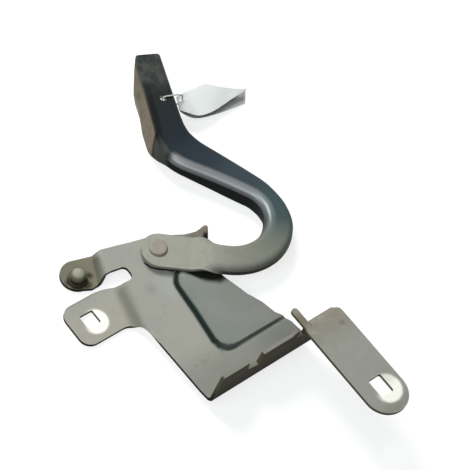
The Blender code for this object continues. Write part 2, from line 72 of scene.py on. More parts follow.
class Wire:
    # one socket of a node tree, so that sums of sockets read as plain sums
    def __init__(self, tree, socket):
        self.tree = tree
        self.socket = socket

    def make(self, kind, settings=None, values=None, out=0):
        node = self.tree.nodes.new(kind)
        for name, value in (settings or {}).items():
            setattr(node, name, value)
        for name, value in (values or {}).items():
            if isinstance(value, Wire):
                self.tree.links.new(value.socket, node.inputs[name])
            else:
                node.inputs[name].default_value = value
        return Wire(self.tree, node.outputs[out])

    def sum(self, operation, first, second=None, out=0):
        values = [v for v in (first, second) if v is not None]
        isVector = any(isinstance(v, (tuple, Vector)) or isinstance(v, Wire) and v.socket.type == "VECTOR"
                       for v in values)
        if isVector:
            values = [v if isinstance(v, (tuple, Vector, Wire)) else (v, v, v) for v in values]
        kind = "ShaderNodeVectorMath" if isVector else "ShaderNodeMath"
        return self.make(kind, {"operation": operation}, dict(enumerate(values)), out)

    def __add__(self, other):
        return self.sum("ADD", self, other)

    def __radd__(self, other):
        return self.sum("ADD", other, self)

    def __sub__(self, other):
        return self.sum("SUBTRACT", self, other)

    def __rsub__(self, other):
        return self.sum("SUBTRACT", other, self)

    def __mul__(self, other):
        return self.sum("MULTIPLY", self, other)

    def __rmul__(self, other):
        return self.sum("MULTIPLY", other, self)

    def __truediv__(self, other):
        return self.sum("DIVIDE", self, other)

    def __rtruediv__(self, other):
        return self.sum("DIVIDE", other, self)

    def __abs__(self):
        return self.sum("ABSOLUTE", self)

    def atLeast(self, other):
        return self.sum("MAXIMUM", self, other)

    def atMost(self, other):
        return self.sum("MINIMUM", self, other)

    def above(self, other):
        return self.sum("GREATER_THAN", self, other)

    def sine(self):
        return self.sum("SINE", self)

    def cosine(self):
        return self.sum("COSINE", self)

    def dot(self, other):
        return self.sum("DOT_PRODUCT", self, other, out=1)

    def size(self):
        return self.sum("LENGTH", self, out=1)

    def part(self, index):
        return self.make("ShaderNodeSeparateXYZ", values={0: self}, out=index)

    def fade(self, low, high):
        # 0 at low, 1 at high, smooth between; low may be the larger
        return self.make("ShaderNodeMapRange", {"interpolation_type": "SMOOTHSTEP"},
                         {"Value": self, "From Min": low, "From Max": high})

    def blend(self, factor, second):
        # this colour, turning into the second one by the factor
        return self.make("ShaderNodeMix", {"data_type": "RGBA"}, {0: factor, 6: self, 7: second}, out=2)

    def noise(self, scale, detail=2.0, rough=0.5, stretch=(1, 1, 1)):
        return self.make("ShaderNodeTexNoise", values={
            "Vector": self * stretch, "Scale": scale, "Detail": detail, "Roughness": rough})


class Paint:
    # a material whose patterns are drawn in millimetres from the pivot
    def __init__(self, name, tones=None):
        self.tones = tones
        self.shade = None
        self.material = bpy.data.materials.new(name)
        self.material.use_nodes = True
        self.tree = self.material.node_tree
        self.shader = self.tree.nodes["Principled BSDF"]
        self.start = Wire(self.tree, None)
        where = self.start.make("ShaderNodeTexCoord", out=3)
        self.place = where.make("ShaderNodeMapping", values={
            "Vector": where, "Location": tuple(-pivot * 1000), "Scale": (1000, 1000, 1000)})
        self.facing = self.start.make("ShaderNodeTexCoord", out=1)

    def colour(self, red, green, blue):
        shown = tint(red, green, blue)
        return self.start.make("ShaderNodeMix", {"data_type": "RGBA"}, {0: 0.0, 6: shown, 7: shown}, out=2)

    def tone(self, name):
        return self.colour(*self.tones[name])

    def lay(self, mask, colour):
        # lays a colour, or the tone of that name, over the colours so far
        self.shade = self.shade.blend(mask, self.tone(colour) if isinstance(colour, str) else colour)

    def value(self, name):
        return self.start.make("ShaderNodeAttribute", {"attribute_name": name}, out=2)

    def finish(self, colour, roughness, metallic=0.0, bump=None, strength=0.2, distance=0.0002, coat=0.0,
               **fixed):
        varied = {"Base Color": colour, "Roughness": roughness, "Metallic": metallic, "Coat Weight": coat}
        for name, value in varied.items():
            if isinstance(value, Wire):
                self.tree.links.new(value.socket, self.shader.inputs[name])
            else:
                self.shader.inputs[name].default_value = value
        if bump:
            relief = bump.make("ShaderNodeBump", values={
                "Strength": strength, "Distance": distance, "Height": bump})
            self.tree.links.new(relief.socket, self.shader.inputs["Normal"])
        for name, value in fixed.items():
            self.shader.inputs[name.replace("_", " ")].default_value = value
        return self.material


def toStretch(place, first, last):
    # distance across the plate from a straight stretch of line
    start = Vector((first[0], first[1], 0))
    span = Vector((last[0], last[1], 0)) - start
    away = place * (1, 1, 0) - start
    share = (away.dot(span) / span.length_squared).atLeast(0).atMost(1)
    return (away - share * span).size()


def toPath(place, points):
    # distance across the plate from a line of several stretches
    nearest = None
    for first, last in zip(points[:-1], points[1:]):
        distance = toStretch(place, first, last)
        nearest = distance if nearest is None else nearest.atMost(distance)
    return nearest


def spot(place, centre, radius, soft):
    # 1 inside a round patch, 0 outside it
    return ((place - (*centre, 0)) * (1, 1, 0)).size().fade(radius + soft, radius - soft)


def addPiece(name, mesh, material):
    obj = bpy.data.objects.new(name, mesh)
    bpy.context.scene.collection.objects.link(obj)
    mesh.materials.clear()
    mesh.materials.append(material)
    return obj


def settle(obj):
    # keeps the evaluated shape as the object's plain mesh
    graph = bpy.context.evaluated_depsgraph_get()
    graph.update()
    shape = bpy.data.meshes.new_from_object(obj.evaluated_get(graph))
    obj.modifiers.clear()
    obj.data = shape
    return obj


def smoothFaces(obj, angle=None):
    for face in obj.data.polygons:
        face.use_smooth = True
    if angle:
        obj.data.set_sharp_from_angle(angle=radians(angle))
    return obj


# how shapes are joined, rounded and drilled: distances in metres, angles in degrees
shaping = {
    "copyMerge": 0.00002,
    "sweepMerge": 0.00001,
    "turnMerge": 0.000005,
    "flat": 1.0,
    "edgeSegments": 2,
    "flatWeight": 80,
    "holeSides": 48,
    "turnSides": 96,
}


def copyNode(node, name, material):
    # a merged copy of a CAD node, with the flat stretches joined to single faces
    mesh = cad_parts[node].data.copy()
    work = bmesh.new()
    work.from_mesh(mesh)
    bmesh.ops.remove_doubles(work, verts=work.verts, dist=shaping["copyMerge"])
    bmesh.ops.dissolve_limit(work, angle_limit=radians(shaping["flat"]), verts=work.verts, edges=work.edges)
    work.to_mesh(mesh)
    work.free()
    return smoothFaces(addPiece(name, mesh, material))


def softEdges(obj, width, angle=40):
    # rounds the sheared edges and keeps the flats flat
    bevel = obj.modifiers.new("edges", "BEVEL")
    bevel.width = width / 1000
    bevel.segments = shaping["edgeSegments"]
    bevel.limit_method = "ANGLE"
    bevel.angle_limit = radians(angle)
    weighted = obj.modifiers.new("flats", "WEIGHTED_NORMAL")
    weighted.weight = shaping["flatWeight"]
    return settle(obj)


def fit(piece, body, node):
    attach(piece, body)
    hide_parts(node)
    print("made", piece.name)


# camera and studio

view = {
    # the camera's right side and its back, and its place from the pivot
    "right": (0.7547, -0.6153, 0.2268),
    "back": (-0.5028, -0.3211, 0.8020),
    "place": (-511.5, -379.1, 906.5),
    "lens": 126.4,
    # place, disk size, power and colour of each lamp
    "lamps": {"key": ((-0.05, 0.85, 1.2), 0.6, 17.0, (1.0, 0.985, 0.96)),
              "left": ((-0.85, -0.08, 1.05), 0.9, 8.5, (0.88, 0.96, 1.0))},
    # what lights the object, beside the lamps: the sky's strength and the floor's grey
    "sky": 0.1,
    "floor": 0.15,
    "floorSize": 6,
    "floorPale": 0.92,
    "floorGlow": 1.2,
    "glowShare": 0.65,
}


def makeCamera():
    back = Vector(view["back"]).normalized()
    right = Vector(view["right"])
    right = (right - back * right.dot(back)).normalized()
    up = back.cross(right)
    data = bpy.data.cameras.new("camera")
    data.lens = view["lens"]
    data.sensor_width = 36
    camera = bpy.data.objects.new("camera", data)
    bpy.context.scene.collection.objects.link(camera)
    turn = Matrix((right, up, back)).transposed().to_4x4()
    camera.matrix_world = Matrix.Translation(toRow(*view["place"])) @ turn
    bpy.context.scene.camera = camera


def seenRays(wire):
    # rays that meet the white background: the camera's own, and those off metal and through glass
    path = wire.make("ShaderNodeLightPath").socket.node
    seen, glossy, through = (Wire(wire.tree, path.outputs[name])
                             for name in ("Is Camera Ray", "Is Glossy Ray", "Is Transmission Ray"))
    return seen.atLeast(glossy).atLeast(through)


def makeStudio():
    for name, (place, size, power, colour) in view["lamps"].items():
        light = bpy.data.lights.new(name, "AREA")
        light.shape = "DISK"
        light.size = size
        light.energy = power
        light.color = colour
        lamp = bpy.data.objects.new(name, light)
        lamp.location = place
        lamp.rotation_euler = Vector(place).to_track_quat("Z", "Y").to_euler()
        bpy.context.scene.collection.objects.link(lamp)
    world = bpy.data.worlds.new("studio")
    world.use_nodes = True
    bpy.context.scene.world = world
    tree = world.node_tree
    backdrop = tree.nodes["Background"]
    wire = Wire(tree, None)
    seen = seenRays(wire)
    tree.links.new((seen * (1 - view["sky"]) + view["sky"]).socket, backdrop.inputs["Strength"])
    backdrop.inputs["Color"].default_value = (1, 1, 1, 1)
    makeFloor()
    bpy.context.scene.view_settings.view_transform = "Standard"
    print("camera and studio ready")


def makeFloor():
    half = view["floorSize"]
    floor = bpy.data.meshes.new("floor")
    floor.from_pydata([(-half, -half, 0), (half, -half, 0), (half, half, 0), (-half, half, 0)], [],
                      [(0, 1, 2, 3)])
    material = bpy.data.materials.new("floorPale")
    material.use_nodes = True
    tree = material.node_tree
    tree.nodes.remove(tree.nodes["Principled BSDF"])
    wire = Wire(tree, None)
    pale, dull = (wire.make("ShaderNodeBsdfDiffuse", values={"Color": (grey, grey, grey, 1)})
                  for grey in (view["floorPale"], view["floor"]))
    glow = wire.make("ShaderNodeEmission", values={"Strength": view["floorGlow"]})
    shown = wire.make("ShaderNodeMixShader", values={0: view["glowShare"], 1: pale, 2: glow})
    mixed = wire.make("ShaderNodeMixShader", values={0: seenRays(wire), 1: dull, 2: shown})
    tree.links.new(mixed.socket, tree.nodes["Material Output"].inputs["Surface"])
    addPiece("floor", floor, material)


makeCamera()
makeStudio()


# base bracket: worn primer over steel

bracket = {
    "edge": 0.35,
    # foot of the bend of each lowered ear
    "earBend": ((-36.5, -9.6), (-47.6, -56.0)),
    "strutBend": ((-36.8, 17.9), (-42.2, 2.9)),
    # foot of the raised panel, and the middle of its upper corner, where a highlight is painted
    "panelLine": [(50.0, -84.6), (0.4, -84.6), (-4.4, -83.3), (-8.2, -79.0), (-9.1, -74.0), (-6.0, -50.0),
                  (-4.9, -37.0), (-4.1, -29.0), (-3.0, -25.4), (-0.6, -22.0), (2.8, -19.6), (7.4, -19.2),
                  (28.0, -31.5), (60.0, -50.2)],
    "panelCorner": (4.7, -23.6),
    # painted shadow under the arm's lower edge
    "armShadow": [(-11.4, -2.5), (-10.0, -7.2), (-6.6, -10.6), (-1.5, -13.2), (4.0, -18.0), (9.0, -23.5),
              (15.0, -30.0), (24.0, -37.0)],
    # centre and radius of small knocks and of the grime and painted shadow round the ball, then stains with
    # their strength
    "knocks": [(-18.6, -80.2, 0.9), (-24.0, -83.0, 2.2), (-30.1, -81.8, 1.2), (-20.6, -20.6, 3.4)],
    "grimeAndShadow": [(-58.5, 8.8, 4.6), (-61.5, 14.0, 2.4), (-46.4, 11.5, 2.2), (-52.0, 6.8, 3.4)],
    "stains": [(53.0, -120.1, 2.0, 0.5), (33.0, -4.0, 6.5, 0.6), (29.2, -104.7, 5.0, 0.55)],
    # worn seats of the bolts: centre and radius
    "smallRing": (-64.2, -18.8, 9.4),
    "largeRing": (46.3, -172.2, 10.6),
    # stop tab: near corner, heading, length, height and bend, then how its foot and far corner are shaped
    "tab": (33.8, -11.3),
    "tabAngle": 62.6,
    "tabLength": 11.0,
    "tabHeight": 9.0,
    "tabBend": 2.5,
    "tabCurl": 2.9,
    "tabThin": 1.7,
    "tabLevels": (1.2, 2.4, 3.6, 4.8, 6.0, 7.2, 8.6),
    "tabMiddle": (34.6, -8.0),
    # limits of the tab's points: share of its length, distance across it, and height
    "tabLimits": ((-0.05, 1.05), (-0.2, 7.0), (-2.6, 10.0)),
    # angle where its bend ends, its outer face (distance, slope, height), where it thins, how its top drops
    "tabBendEnd": 1.4,
    "tabFace": (3.75, 0.14, 2.1),
    "tabThinFrom": 4.5,
    "tabThinOver": 4,
    "tabLeast": 0.1,
    "tabDrop": 1.15,
    "tones": {
        "plate": (160, 160, 151), "plateLeft": (162, 161, 151), "plateLow": (138, 140, 131),
        "plateFoot": (120, 122, 110), "haze": (170, 175, 171), "cloud": (150, 146, 142),
        "mottle": (132, 134, 128), "panelLeft": (126, 133, 128), "panel": (131, 136, 130),
        "panelRight": (124, 127, 121), "panelFoot": (114, 119, 113), "smallEar": (165, 162, 151),
        "highNear": (138, 134, 121), "high": (152, 153, 145), "highBrown": (146, 136, 124),
        "highEnd": (136, 137, 126), "highPale": (160, 160, 150), "line": (32, 44, 42), "armShadow": (13, 13, 8),
        "corner": (176, 180, 174), "earBend": (96, 95, 84), "strutEar": (107, 106, 88),
        "strutBrown": (119, 111, 93), "strutBend": (84, 83, 68), "grimeAndShadow": (44, 42, 30),
        "seatGlint": (254, 252, 242), "seatDull": (226, 228, 218), "knock": (96, 94, 90),
        "stain": (112, 100, 86), "tabInside": (132, 122, 108), "sideLow": (14, 13, 7),
        "sideHigh": (94, 88, 68), "sheared": (14, 14, 8),
    },
}


def tabHeading():
    turn = radians(bracket["tabAngle"])
    return Vector((cos(turn), sin(turn), 0))


def boltSeats(place, ragged):
    # seats worn bare by the bolt flanges, painted near white for their glint as well, fading towards one
    # side
    z = place.part(2)
    rings = None
    for name, side in (("smallRing", z.fade(-4, -5)), ("largeRing", z.fade(30, 33))):
        cx, cy, radius = bracket[name]
        out = place * (1, 1, 0) - (cx, cy, 0)
        away = out.size() + ragged * 0.5
        lit = out.dot((0.77, -0.63, 0)) / away.atLeast(0.5)
        inner = radius - 1.4 - lit.fade(0.2, -0.8) * 2.5
        ring = away.fade(radius + 1.0, inner) * side * lit.fade(-0.95, -0.3)
        rings = ring if rings is None else rings.atLeast(ring)
    return rings


def bracketPaint():
    paint = Paint("bracketPrimer", bracket["tones"])
    place, tone = paint.place, paint.tone
    x, y, z = (place.part(i) for i in range(3))
    cloud = place.noise(0.035, 3.0, 0.55)
    mottle = place.noise(0.16, 4.0, 0.6)
    grain = place.noise(1.7, 2.0, 0.6)
    ragged = place.noise(0.5, 3.0, 0.6) * 1.6 - 0.8
    up = paint.facing.part(2)
    paint.shade = tone("plate").blend(y.fade(-40, -60) * x.fade(6, -14), tone("plateLeft"))
    paint.lay(y.fade(-66, -96), "plateLow")
    paint.lay(y.fade(-98, -122), "plateFoot")
    # the raised panel is a little bluer and darker than the plate round it
    haze = spot(place, (-4.0, -22.0), 13.0, 8.0) * y.fade(-13, -16)
    paint.lay(haze * 0.45, "haze")
    panel = tone("panelLeft").blend(x.fade(-4, 12), tone("panel")).blend(x.fade(8, 45), tone("panelRight"))
    raised = (x - y * 0.138 - 1.1).fade(-1, 2) * y.fade(-86, -83) * z.above(-3)
    paint.lay(raised * 0.9, panel)
    paint.lay(x.fade(4, 40) * y.fade(-82, -90) * 0.8, "panelFoot")
    # bolt ears: pale at the lower left, greener and worn at the right
    paint.lay(z.fade(-3.5, -5.0) * y.fade(-6, -12), "smallEar")
    high = z.fade(26, 32)
    paint.lay(high, tone("highNear").blend(y.fade(-105, -140), tone("high")))
    paint.lay(high * cloud.fade(0.45, 0.62) * y.fade(-150, -110) * 0.6, "highBrown")
    paint.lay(high * y.fade(-176, -190), "highEnd")
    paint.lay(high * mottle.fade(0.5, 0.3) * 0.5, "highPale")
    paint.lay(cloud.fade(0.4, 0.7) * 0.35, "cloud")
    paint.lay(mottle.fade(0.55, 0.75) * 0.25, "mottle")
    # dark line of dirt and shade along the foot of the raised panel
    line = toPath(place, bracket["panelLine"])
    width = 1 - y.fade(-72, -84) * x.fade(-4, 6) * 0.5
    core = (line / width).fade(2.8, 0.7) * (1 - y.fade(-76, -84) * 0.25) * z.fade(-1.5, 0.2)
    core = core * (1 - x.fade(36, 46) * 0.6) * y.fade(-100, -97)
    paint.lay(core, "line")
    # painted shadow along the arm's lower edge, on the plate under it
    spread = 0.8 + x.fade(-10, 0) * 1.4 + x.fade(6, 15) * 4.0
    armShadow = toPath(place, bracket["armShadow"]) / spread + (mottle - 0.5) * 0.25
    armShadow = armShadow.fade(1.2, 0.35) * z.fade(-2.5, -1.0) * z.fade(4, 2.5)
    paint.lay(armShadow * 0.95, "armShadow")
    # painted highlight on the rounded upper corner of the raised panel
    paint.lay(spot(place, bracket["panelCorner"], 1.6, 1.2) * 0.5, "corner")
    # painted shade in the hollows of the two stepped bends
    step = toStretch(place, *bracket["earBend"]).fade(6.5, 0.5) * y.fade(-4, -12)
    paint.lay(step * 0.55, "earBend")
    # lowered strut ear: olive and brown, with grime and painted shadow round the ball's foot
    ear = z.fade(-1.5, -5.5) * y.fade(-3, 1) * x.fade(-20, -30)
    olive = tone("strutEar").blend((x + ragged * 3).fade(-50, -43), tone("strutBrown"))
    paint.lay(ear * 0.85, olive)
    # painted shade in the stepped bend of the strut ear
    step = toStretch(place, *bracket["strutBend"]).fade(4.5, 0.5) * y.fade(-4, 2)
    paint.lay(step * 0.6, "strutBend")
    grimeAndShadow = None
    for cx, cy, radius in bracket["grimeAndShadow"]:
        patch = spot(place + ragged * 0.8, (cx, cy), radius, 1.8)
        grimeAndShadow = patch if grimeAndShadow is None else grimeAndShadow.atLeast(patch)
    paint.lay(grimeAndShadow * ear * 0.8, "grimeAndShadow")
    # worn bolt seats, painted near white for their glint as well as their bare metal
    rings = boltSeats(place, ragged)
    seatGlint = tone("seatGlint").blend(high * (y + ragged * 2).fade(-174, -166), tone("seatDull"))
    paint.lay(rings, seatGlint)
    # faint knocks and dark specks on the plate
    marks = place.noise(0.9, 1.0, 0.4).fade(0.73, 0.79) * 0.35
    for cx, cy, radius in bracket["knocks"]:
        marks = marks.atLeast(spot(place + ragged * 1.6, (cx, cy), radius, radius * 0.8) * 0.2)
    paint.lay(marks * (1 - rings), "knock")
    # brown stains on the raised ear, the finger and beside the stop tab
    for cx, cy, radius, share in bracket["stains"]:
        stain = spot(place + ragged * 1.5, (cx, cy), radius, radius * 0.6) * up.above(0.5)
        paint.lay(stain * share, "stain")
    # painted shade: undersides and cut walls are darkened, most of all low down, apart from the tab's inner
    # face
    heading = tabHeading()
    onTab = spot(place, bracket["tabMiddle"], 9.0, 1.0) * z.above(0.3)
    inside = paint.facing.dot((-heading.y, heading.x, 0)).fade(0.15, 0.4) * onTab
    paint.lay(inside * 0.7, "tabInside")
    side = up.fade(0.75, 0.1) * (1 - inside)
    wall = tone("sideLow").blend((z + mottle * 8).fade(3.0, 24.0), tone("sideHigh"))
    paint.lay(side * 0.92, wall)
    # painted shade on the sheared edge of the stop tab, dark in its lower part
    sheared = paint.facing.dot((-heading.x, -heading.y, 0)).fade(0.25, 0.45) * onTab
    paint.lay(sheared * z.fade(6.0, 4.6) * 0.9, "sheared")
    rough = 0.5 + mottle * 0.16 - rings * 0.2
    return paint.finish(paint.shade, rough, rings * 0.05, grain + mottle, 0.25, 0.00012,
                        Specular_IOR_Level=0.03)


def sharpenTab(mesh):
    # the stop tab runs down from its far corner to nothing beside the arm
    along = tabHeading()
    out = Vector((along.y, -along.x, 0))
    start = toRow(*bracket["tab"], 0.0)
    plate = start.z
    low = plate + 0.0004

    def share(point):
        return (point - start).dot(along) * 1000 / bracket["tabLength"]

    def onTab(face):
        return all(v.co.z > low for v in face.verts) and -0.2 < share(face.calc_center_median()) < 1.3

    work = bmesh.new()
    work.from_mesh(mesh)
    cuts = [(start + along * bracket["tabLength"] * i / 10000, along) for i in range(1, 10)]
    cuts += [(toRow(0, 0, level), Vector((0, 0, 1))) for level in bracket["tabLevels"]]
    for point, normal in cuts:
        faces = {face for face in work.faces if onTab(face)}
        geom = [part for group in (work.verts, work.edges) for part in group
                if faces.intersection(part.link_faces)]
        geom += [face for face in work.faces if face in faces]
        bmesh.ops.bisect_plane(work, geom=geom, plane_co=point, plane_no=normal)
    raised = {v for face in work.faces if onTab(face) for v in face.verts}
    for vertex in work.verts:
        away = (vertex.co - start).dot(out) * 1000 + bracket["tabBend"]
        height = (vertex.co.z - plate) * 1000
        found = zip((share(vertex.co), away, height), bracket["tabLimits"])
        if not all(least < value < most for value, (least, most) in found):
            continue
        # a rounder foot, and a far corner that thins out
        turn = atan2(away, bracket["tabBend"] - height)
        level = bracket["tabBend"] * (1 - cos(turn)) if turn < bracket["tabBendEnd"] else height
        move = -bracket["tabCurl"] * (1 - min(level / bracket["tabHeight"], 1.0)) ** 2
        distance, slope, foot = bracket["tabFace"]
        if vertex in raised and away < distance + slope * max(height - foot, 0):
            move += bracket["tabThin"] * ease((height - bracket["tabThinFrom"]) / bracket["tabThinOver"])
        vertex.co += out * move / 1000 * min(max(share(vertex.co), 0.0), 1.0)
    for vertex in raised:
        # a top edge that drops toward the arm
        left = bracket["tabLeast"] + (1 - bracket["tabLeast"]) * ease(share(vertex.co) * bracket["tabDrop"])
        vertex.co.z = low + (vertex.co.z - low) * left
    work.to_mesh(mesh)
    work.free()


def makeBracket():
    piece = copyNode("base_bracket", "baseBracket", bracketPaint())
    sharpenTab(piece.data)
    softEdges(piece, bracket["edge"])
    fit(piece, "base", "base_bracket")


makeBracket()


# hood arm: one sheet swept along its bent middle line

arm = {
    # thickness, gap under the eye, height of the web, and the line's first heading and step aside
    "sheet": 2.5,
    "gap": 3.5,
    "webTop": 11.5,
    "heading": -38.0,
    "sideStep": -3.0,
    "inBend": 4.8,
    "outBend": 4.8,
    "joggleStart": 21.0,
    "joggleLength": 17.0,
    # lengths of the middle line with the degrees that each one turns
    "runs": [(47.5, 0.0), (27.3, 40.8), (63.5, 109.2), (47.5, 0.4), (34.6, -44.7), (54.8, 0.0)],
    # distance, then half web, drop and bend angle of the inner side and of the outer side
    "rows": [
        (-11.5, 5.5, 5.0, 0, 4.2, 2.0, 0), (27.0, 5.5, 4.4, 0, 4.2, 2.0, 0),
        (44.0, 5.4, 3.6, 80, 5.4, 3.6, 78), (100.0, 5.2, 3.6, 80, 5.4, 3.6, 78),
        (114.0, 5.2, 7.0, 80, 3.8, 3.6, 78), (128.0, 5.8, 9.1, 82, 2.4, 3.6, 78),
        (144.0, 7.4, 9.4, 82, 3.0, 3.6, 78), (168.0, 11.2, 7.9, 82, 3.5, 3.6, 78),
        (184.0, 14.4, 6.2, 82, 3.6, 3.6, 78), (192.5, 15.6, 5.6, 82, 4.1, 3.6, 78),
        (200.0, 14.0, 10.4, 82, 4.3, 3.6, 78), (208.0, 10.7, 15.4, 80, 5.0, 3.4, 78),
        (217.0, 8.0, 16.6, 80, 5.6, 3.2, 77), (236.0, 7.2, 15.2, 82, 5.4, 3.0, 76),
        (276.0, 7.2, 15.2, 82, 5.4, 3.0, 76)],
    # round eye: its centre and radius, then the degrees of its stations round the tip
    "tipCentre": 1.6,
    "tipRadius": 13.1,
    "tipTurns": (3, 7, 12, 18, 25, 33, 42, 52, 63, 75, 88),
    "firstStation": 3.0,
    # slanted end of the pad
    "endOuter": 4.0,
    "slantStart": 8.5,
    "slant": 1.05,
    "slantStep": 4.5,
    "slantSoft": 3,
    "slantReach": 44.0,
    "tipStart": 15.5,
    "tipCurve": 0.5,
    "step": 1.5,
    "leastTurn": 0.0002,
    "columns": 57,
    "bore": 5.2,
    "tieHole": (78.0, 97.0, 2.0),
    "edge": 0.45,
    # where each colour of the paint starts and is complete along the arm
    "drift": [(14, 32, (149, 149, 138)), (38, 58, (134, 135, 125)), (58, 78, (122, 125, 114)),
              (74, 96, (98, 108, 101)), (90, 108, (66, 82, 84)), (112, 150, (57, 67, 75)),
              (150, 180, (43, 52, 60)), (180, 205, (30, 39, 44)), (205, 240, (33, 37, 38)),
              (244, 256, (48, 53, 51))],
    "tones": {
        "eye": (158, 159, 147), "scrape": (174, 170, 168), "wall": (10, 12, 13), "facet": (78, 80, 72),
        "pad": (142, 131, 115), "padEnd": (122, 122, 108), "padMottle": (104, 100, 86),
        "padEdge": (160, 158, 148), "crease": (30, 31, 28), "neckShade": (13, 14, 14), "mottle": (118, 118, 108),
        "rubbed": (92, 96, 92), "rim": (26, 27, 22), "under": (30, 30, 27),
    },
}
armEnd = sum(length for length, turn in arm["runs"])
armParts = ("inWeb", "inDrop", "inTurn", "outWeb", "outDrop", "outTurn")


def armPoint(t):
    # place and heading of the middle line at a distance from the pivot
    heading = radians(arm["heading"])
    point = Vector((-sin(heading), cos(heading), 0)) * arm["sideStep"]
    if t < 0:
        return point + Vector((cos(heading), sin(heading), 0)) * t, heading
    for length, turn in arm["runs"]:
        step = min(t, length)
        change = radians(turn) * step / length
        if abs(change) < 1e-9:
            point = point + Vector((cos(heading), sin(heading), 0)) * step
        else:
            ahead = heading + change
            chord = Vector((sin(ahead) - sin(heading), cos(heading) - cos(ahead), 0))
            point = point + chord * (step / change)
        heading += change
        t -= step
        if t <= 0:
            break
    return point, heading


def steepness(before, after):
    # slope at a row, level where the sizes turn back
    return 2 * before * after / (before + after) if before * after > 0 else 0.0


def armRow(t):
    # sizes of the section at a distance from the pivot
    rows = arm["rows"]
    i = 0
    while i < len(rows) - 2 and t > rows[i + 1][0]:
        i += 1
    near = [rows[min(max(k, 0), len(rows) - 1)] for k in range(i - 1, i + 3)]
    span = near[2][0] - near[1][0]
    share = (t - near[1][0]) / span
    row = {}
    for k, name in enumerate(armParts, 1):
        slopes = [(b[k] - a[k]) / max(b[0] - a[0], 0.000001) for a, b in zip(near[:-1], near[1:])]
        start, end = (steepness(*pair) * span for pair in (slopes[:2], slopes[1:]))
        row[name] = near[1][k] + (near[2][k] - near[1][k]) * ease(share)
        row[name] += start * share * (1 - share) ** 2 - end * share ** 2 * (1 - share)
    flat = arm["gap"] + arm["sheet"] / 2
    lift = arm["webTop"] - arm["sheet"] / 2 - flat
    row["level"] = flat + lift * ease((t - arm["joggleStart"]) / arm["joggleLength"])
    for name in ("inTurn", "outTurn"):
        row[name] = max(radians(row[name]), arm["leastTurn"])
    row["inReach"] = row["inWeb"] + arm["inBend"] + row["inDrop"]
    row["outReach"] = row["outWeb"] + arm["outBend"] + row["outDrop"]
    row["squeeze"] = 1.0
    if t < arm["tipCentre"]:
        half = sqrt(arm["tipRadius"] ** 2 - (arm["tipCentre"] - t) ** 2)
        row["squeeze"] = 2 * half / (row["inReach"] + row["outReach"])
    row["middle"] = (row["inReach"] - row["outReach"]) / 2
    row["along"] = t
    return row


def armLine():
    # the middle line as a chain of edges, with the section's sizes stored on its points
    stations = [arm["tipCentre"] - arm["tipRadius"] * cos(radians(turn)) for turn in arm["tipTurns"]]
    t = arm["firstStation"]
    while t < armEnd - arm["step"] / 3:
        stations.append(t)
        t += arm["step"]
    stations.append(armEnd)
    rows = [armRow(t) for t in stations]
    spots = [armPoint(t) for t in stations]
    mesh = bpy.data.meshes.new("armLine")
    mesh.from_pydata([tuple(p) for p, heading in spots], [(i, i + 1) for i in range(len(spots) - 1)], [])
    for name in rows[0]:
        mesh.attributes.new(name, "FLOAT", "POINT").data.foreach_set("value", [row[name] for row in rows])
    for name, values in (("sideX", [-sin(h) for p, h in spots]), ("sideY", [cos(h) for p, h in spots]),
                         ("midX", [p.x for p, h in spots]), ("midY", [p.y for p, h in spots])):
        mesh.attributes.new(name, "FLOAT", "POINT").data.foreach_set("value", values)
    return mesh


def treeInput(tree, name, kind, value=None):
    socket = tree.interface.new_socket(name, in_out="INPUT", socket_type="NodeSocket" + kind)
    if value is not None:
        socket.default_value = value
    return socket.identifier


